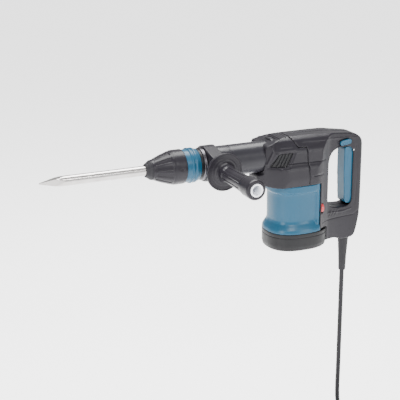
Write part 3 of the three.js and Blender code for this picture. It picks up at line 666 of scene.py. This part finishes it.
def pressed(data, marks):
    # a mark is a line or a field in the side view (x, z) or top view (x, y); depth above zero sinks it
    count = len(data.vertices)
    spots, normals = np.zeros(count * 3), np.zeros(count * 3)
    data.vertices.foreach_get("co", spots)
    data.vertex_normals.foreach_get("vector", normals)
    spots, normals = spots.reshape(-1, 3), normals.reshape(-1, 3)
    x, y, z = ((spots - np.array(toolOrigin)) / mm).T
    shift = np.zeros(count)
    for mark in marks:
        top = mark.get("view") == "top"
        outer = np.clip((normals[:, 2] - 0.2) / 0.3, 0, 1) * (z > 15) if top else (
            np.clip((normals[:, 1] * np.sign(y) - 0.2) / 0.3, 0, 1))
        if mark.get("side"):
            outer = outer * (np.sign(y) == mark["side"])
        across = y if top else z
        if "line" in mark:
            share = np.clip(1 - (away(x, across, mark["line"]) / mark["width"]) ** 2, 0, 1) ** 2
        else:
            gap = away(x, across, mark["field"] + mark["field"][:1])
            gap = np.where(within(x, across, mark["field"]), gap, -gap)
            t = np.clip(gap / mark["soft"] + 0.5, 0, 1)
            share = t * t * (3 - 2 * t)
        shift += outer * share * mark["depth"]
    spots -= normals * (shift * mm)[:, None]
    data.vertices.foreach_set("co", spots.ravel())
    data.update()
    return data


def shellPiece(name, node, look, voxel, rounds, keep, marks=(), body="machine", smooth=60):
    data = moulded(name, cadCopy(name, node), voxel, rounds)
    data = thinned(name, pressed(data, marks), keep)
    piece = addPiece(name, data, looks[look], body, smooth)
    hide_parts(node)
    return piece


coverMarks = [
    dict(line=[(244, -9), (360, -9.5)], width=1.3, depth=0.9),  # parting line round the bulge
    dict(line=[(251, 31), (237, -8)], width=2.4, depth=-1.1),  # ridge behind the barrel's collar
    dict(line=[(255, -16), (276, -16)], width=1.2, depth=0.5),
    dict(field=[(236.5, -16), (254.5, 14.5), (293, 14.5), (278, -16)], soft=2.5, depth=0.7),  # dish
    dict(line=[(262, 21), (286, 21)], width=1.4, depth=-0.6),
]
handleMarks = [
    dict(line=[(315, -9.5), (358, -10.5)], width=1.3, depth=0.9),
    dict(line=[(318, -36), (352, -37)], width=1.2, depth=0.8),
    dict(line=[(352, -134), (434, -134), (446, -128)], width=1.4, depth=0.8),  # joint along the lower arm
    dict(line=[(372, -121), (408, -124), (428, -121)], width=1.8, depth=-0.9),
    dict(line=[(375, -128), (381, -118)], width=1.3, depth=-0.8),
    dict(line=[(383, -128), (389, -118)], width=1.3, depth=-0.8),
    dict(line=[(391, -128), (397, -118)], width=1.3, depth=-0.8),
    dict(line=[(310, 27.5), (360, 26.5), (436, 19)], width=1.6, depth=-0.5),  # shoulder under the top facet
    dict(field=[(391.5, 6.5), (391.5, 17.5), (424.5, 20.5), (424.5, 9.5)], soft=2.4, depth=1.2,
         side=-1),  # the lock button's bed
    dict(line=[(436, 4), (440, -60), (438, -110)], width=2.4, depth=0.5),
]


def makeHousing():
    shellPiece("front_shell", "front_cover", "charcoal", 1.1, 4, 0.5, coverMarks)
    shellPiece("handle_shell_left", "handle_left", "charcoal", 1.15, 4, 0.45, handleMarks)
    shellPiece("handle_shell_right", "handle_right", "charcoal", 1.15, 4, 0.45,
               handleMarks)
    shellPiece("slats_left", "louvre_left", "darkPlastic", 0.5, 2, 0.5)
    shellPiece("slats_right", "louvre_right", "darkPlastic", 0.5, 2, 0.5)


motorSize = dict(x=311, rear=345, power=2.5, narrower=7.4, band=54.4, borderFrom=24, borderFoot=-146,
                 borderHigh=16, longestEdge=2.0, sides=180, fillet=1.4, edge=0.8)
motorOuter = [(-54.3, 53.4), (-55.2, 54.3), (-66.5, 54.6), (-68.6, 53.6), (-69.6, 51.3), (-71, 50.4),
              (-76, 50.0), (-124, 49.6), (-129, 51), (-134, 54.2), (-139, 57), (-142.5, 57.9), (-145.4, 58.2),
              (-146, 57.6)]
motorInner = [(-146, 55), (-141, 54), (-133, 50), (-124, 46.5), (-76, 47), (-67, 50), (-54.3, 50.8)]


def oval(radius, angle, narrower):
    p = motorSize["power"]
    a, b = radius, radius - narrower
    return (abs(math.cos(angle) / a) ** p + abs(math.sin(angle) / b) ** p) ** (-1 / p)


def motorRadius(z, radius, angle):
    s = motorSize
    r = oval(radius, angle, s["narrower"])
    if radius < motorInside(z) + 1 or radius > s["band"]:
        return r
    border = eased((r * math.cos(angle) - s["borderFrom"]) / 3)
    border *= eased((z - s["borderFoot"]) / s["borderHigh"])
    return r + (oval(s["band"], angle, s["narrower"]) - r) * border


def motorInside(z):
    return float(np.interp(z, *zip(*motorInner)))


def makeMotorHousing():
    s = motorSize
    rows = divided(filleted(motorOuter + motorInner + motorOuter[:1], s["fillet"]), s["longestEdge"])
    body = turnedMesh("motorBody", rows, s["sides"], axis="z", centre=(s["x"], 0, 0), carve=motorRadius)
    cutter = bpy.data.meshes.new("rearCut")
    far = [(s["rear"] + dx, dy, -100 + dz) for dx in (0, 60) for dy in (-80, 80) for dz in (-80, 80)]
    cutter.from_pydata([at(*p) for p in far], [], [
        (0, 1, 3, 2), (4, 6, 7, 5), (0, 4, 5, 1), (2, 3, 7, 6), (0, 2, 6, 4), (1, 5, 7, 3)])
    tool = placed("rearCut", outward(cutter))
    piece = placed("motorBody", body)
    cut = piece.modifiers.new("cut", "BOOLEAN")
    cut.operation = "DIFFERENCE"
    cut.solver = "EXACT"
    cut.object = tool
    edge = piece.modifiers.new("edge", "BEVEL")
    edge.width = s["edge"] * mm
    edge.segments = 2
    edge.limit_method = "ANGLE"
    edge.angle_limit = math.radians(60)
    data = evaluated(piece)
    bpy.data.objects.remove(tool)
    motor = addPiece("motor_body", data, looks["blue"], "machine", 32)
    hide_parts("motor_housing")


baseSize = dict(x=313.2, narrower=9.8, seat=20, sides=144, fillet=0.9, longestEdge=3.0)


def baseRadius(z, radius, angle):
    return oval(radius, angle, baseSize["narrower"]) if radius > baseSize["seat"] else radius


def makeBase():
    s = baseSize
    turnedPiece("base_shell", [
        (-181, 0), (-181, 54), (-180, 56.4), (-178, 58.6), (-171, 60.2), (-154.6, 60.4), (-154, 59.8),
        (-153, 59.8), (-152.4, 60.5), (-147, 60.5), (-146.4, 59.7), (-146.4, 57.4), (-172, 54.4),
        (-174, 52.4), (-174, 14), (-156.7, 14), (-156.7, 11.3), (-165.4, 11.3), (-165.4, 4.6),
        (-168, 4.6), (-168, 0)],
        "darkPlastic", "black_plastic", "machine", ["base_cover"], axis="z", centre=(s["x"], 0, 0),
        sides=s["sides"], fillet=s["fillet"], longest=s["longestEdge"], carve=baseRadius)


makeHousing()
makeMotorHousing()
makeBase()
print("housings made")


triggerMarks = [dict(line=[(419, -8), (418, -60), (421, -104)], width=1.5, depth=0.35)]
buttonMarks = [dict(field=[(402.5, 9.6), (402.5, 14.6), (416.5, 16.4), (416.5, 11.4)], soft=1.4, depth=0.5)]


def makeControls():
    shellPiece("long_trigger", "trigger", "blue", 0.9, 7, 0.5, triggerMarks, body="trigger")
    shellPiece("lock_pill", "lock_button", "blue", 0.45, 4, 0.6, buttonMarks,
               body="lock_button")


def newTree(name, **sockets):
    tree = bpy.data.node_groups.new(name, "GeometryNodeTree")
    tree.interface.new_socket("Geometry", in_out="INPUT", socket_type="NodeSocketGeometry")
    for label, kind in sockets.items():
        tree.interface.new_socket(label, in_out="INPUT", socket_type="NodeSocket" + kind)
    tree.interface.new_socket("Geometry", in_out="OUTPUT", socket_type="NodeSocketGeometry")
    return tree, tree.nodes.new("NodeGroupInput"), tree.nodes.new("NodeGroupOutput")


def grown(name, tree, source, **values):
    # runs a tree on a small mesh and keeps only its plain result
    piece = placed(name, source)
    run = piece.modifiers.new("tree", "NODES")
    run.node_group = tree
    for item in tree.interface.items_tree:
        if item.in_out == "INPUT" and item.name in values:
            run[item.identifier] = values[item.name]
    return evaluated(piece)


def spotMesh(name, spots):
    data = bpy.data.meshes.new(name)
    data.from_pydata([at(*p) for p in spots], [], [])
    return data


def finishTree(tree, start, end, geometry):
    # every tree ends as plain faces with their material
    real = step(tree, "GeometryNodeRealizeInstances", {"Geometry": geometry})
    paint = step(tree, "GeometryNodeSetMaterial", {
        "Geometry": real.outputs["Geometry"], "Material": start.outputs["Look"]})
    tree.links.new(paint.outputs["Geometry"], end.inputs["Geometry"])
    return tree


def copiesTree():
    # one part on every point; each copy is wider than the last by Widen
    tree, start, end = newTree("copiesOnPoints", Part="Object", Widen="Float", Look="Material")
    part = step(tree, "GeometryNodeObjectInfo", {"Object": start.outputs["Part"]})
    index = step(tree, "GeometryNodeInputIndex", {})
    grow = step(tree, "ShaderNodeMath", {
        0: index.outputs["Index"], 1: start.outputs["Widen"], 2: 1.0}, operation="MULTIPLY_ADD").outputs[0]
    scale = step(tree, "ShaderNodeCombineXYZ", {"X": grow, "Y": grow, "Z": 1.0})
    copies = step(tree, "GeometryNodeInstanceOnPoints", {
        "Points": start.outputs["Geometry"], "Instance": part.outputs["Geometry"],
        "Scale": scale.outputs["Vector"]})
    return finishTree(tree, start, end, copies.outputs["Instances"])


wheelSize = dict(teeth=22, drumSides=64, drumShare=0.95, rimShare=0.93, toothSides=10, toothShare=0.94,
                 toothRadius=0.07)


def toothedWheelTree():
    # a drum with teeth set round its rim
    s = wheelSize
    tree, start, end = newTree("toothedWheel", Teeth="Int", Radius="Float", Width="Float", Tooth="Float",
                               Look="Material")

    def scaled(label, factor):
        product = step(tree, "ShaderNodeMath", {0: start.outputs[label], 1: factor}, operation="MULTIPLY")
        return product.outputs[0]

    drum = step(tree, "GeometryNodeMeshCylinder", {
        "Vertices": s["drumSides"], "Radius": scaled("Radius", s["drumShare"]),
        "Depth": start.outputs["Width"]})
    rim = step(tree, "GeometryNodeMeshCircle", {
        "Vertices": start.outputs["Teeth"], "Radius": scaled("Radius", s["rimShare"])})
    tooth = step(tree, "GeometryNodeMeshCylinder", {
        "Vertices": s["toothSides"], "Radius": start.outputs["Tooth"],
        "Depth": scaled("Width", s["toothShare"])})
    copies = step(tree, "GeometryNodeInstanceOnPoints", {
        "Points": rim.outputs["Mesh"], "Instance": tooth.outputs["Mesh"]})
    both = step(tree, "GeometryNodeJoinGeometry", {"Geometry": drum.outputs["Mesh"]})
    tree.links.new(copies.outputs["Instances"], both.inputs["Geometry"])
    turn = step(tree, "GeometryNodeTransform", {
        "Geometry": both.outputs["Geometry"], "Rotation": (0, math.pi / 2, 0)})
    return finishTree(tree, start, end, turn.outputs["Geometry"])


def makeWheel():
    low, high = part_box("control_wheel")
    centre, radius = (low + high) / 2, (high.z - low.z) / 2
    data = grown("wheel", toothedWheelTree(), bpy.data.meshes.new("empty"), Teeth=wheelSize["teeth"],
                 Radius=radius, Width=high.x - low.x, Tooth=wheelSize["toothRadius"] * radius,
                 Look=looks["red"])
    data.transform(Matrix.Translation(centre))
    wheel = addPiece("speed_wheel", data, looks["red"], "control_wheel", 40)
    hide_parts("control_wheel")


guardSize = dict(x=424, top=-166, seat=-180.8, end=-252, plug=9.2, ribs=7, ribFrom=-195, ribStep=-7.2,
                 ribWiden=-0.034)


def centredPart(name, profile, sides, axis, carve=None):
    # a part about the world's origin, to be set on points
    data = turnedMesh(name, profile, sides, axis=axis, carve=carve)
    data.transform(Matrix.Translation(-toolOrigin))
    return placed(name, data)


def makeGuard(copies):
    s = guardSize
    end, seat, plug = s["end"], s["seat"], s["plug"]
    profile = [(end, 0), (end, 6), (end + 0.8, 6.9), (end + 32, 8), (seat - 12, 9.8), (seat - 3, 10.5),
               (seat, 10.8), (seat, plug), (s["top"], plug), (s["top"], 0)]
    body = turnedMesh("guardBody", divided(filleted(profile, 0.5), 3.0), 64, axis="z", centre=(s["x"], 0, 0))
    rib = centredPart("guardRib", filleted([
        (-1.7, 6.2), (-1.7, 8.3), (1.7, 8.6), (1.7, 6.2), (-1.7, 6.2)], 0.6), 48, "z")
    spots = [(s["x"], 0, s["ribFrom"] + s["ribStep"] * k) for k in range(s["ribs"])]
    ribs = grown("guardRibs", copies, spotMesh("ribSpots", spots), Part=rib, Widen=s["ribWiden"],
                 Look=looks["rubber"])
    bpy.data.objects.remove(rib)
    guard = addPiece("lead_guard", joined("guard", body, ribs), looks["rubber"], "machine", 40)
    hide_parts("cord_guard")


def joined(name, *parts):
    shape = bmesh.new()
    for part in parts:
        shape.from_mesh(part)
    data = bpy.data.meshes.new(name)
    shape.to_mesh(data)
    shape.free()
    return data


screwSize = dict(head=4.0, headHigh=2.6, bevel=0.5, shank=2.0, socket=2.1, socketDeep=1.7, flats=0.9,
                 sides=36)
screwSets = [  # name, nodes, axis, length
    ("handle_screws", ["handle_screw_1", "handle_screw_2"], "y", 16),
    ("base_screws", [f"base_screw_{k}" for k in (1, 2, 3, 4)], "z", 15.5),
]


def screwProfile(length):
    s = screwSize
    return [(-s["socketDeep"], 0), (-s["socketDeep"], s["socket"]), (0, s["socket"]),
            (0, s["head"] - s["bevel"]), (-s["bevel"], s["head"]), (-s["headHigh"], s["head"]),
            (-s["headHigh"], s["shank"]), (-length, s["shank"]), (-length, 0)]


def socketRadius(station, radius, angle):
    if radius != screwSize["socket"]:
        return radius
    wedge = (angle + math.pi / 6) % (math.pi / 3) - math.pi / 6
    return radius * screwSize["flats"] / math.cos(wedge)


def makeScrews(copies):
    for name, nodes, axis, length in screwSets:
        profile = screwProfile(length)
        if axis == "z":
            profile = [(-h, r) for h, r in profile]  # heads point down
        part = centredPart(name + "Part", profile, screwSize["sides"], axis, socketRadius)
        spots = []
        for node in nodes:
            low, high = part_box(node)
            face = (low + high) / 2
            setattr(face, axis, getattr(low, axis))
            spots.append((face - toolOrigin) / mm)
        data = grown(name, copies, spotMesh(name, spots), Part=part, Widen=0.0, Look=looks["darkSteel"])
        bpy.data.objects.remove(part)
        piece = addPiece(name, data, looks["darkSteel"], "machine", 35)
        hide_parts(*nodes)


makeControls()
makeWheel()
copiesOnPoints = copiesTree()
makeGuard(copiesOnPoints)
makeScrews(copiesOnPoints)
print("controls, guard and screws made")


insideLooks = dict(
    steel=["locking_roller_left", "locking_roller_right", "release_spring", "impact_bolt", "striker",
           "wrist_pin", "crank_bearing", "upper_motor_bearing", "lower_motor_bearing", "trigger_pin",
           "handle_bolt", "plug_pin_left", "plug_pin_right"],
    darkSteel=["tool_holder", "cylinder", "connecting_rod", "crank_gear"],
    copper=["armature"],
    castMetal=["piston", "field_stator", "gear_case"],
    darkPlastic=["brush_holder_left", "brush_holder_right", "switch_module"],
    carbon=["brush_left", "brush_right"],
    board=["control_board"],
)


def finishInside():
    for look, nodes in insideLooks.items():
        for node in nodes:
            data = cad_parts[node].data
            data.materials.clear()
            data.materials.append(looks[look])


finishInside()
print("inner parts finished")


print("all pieces in place")
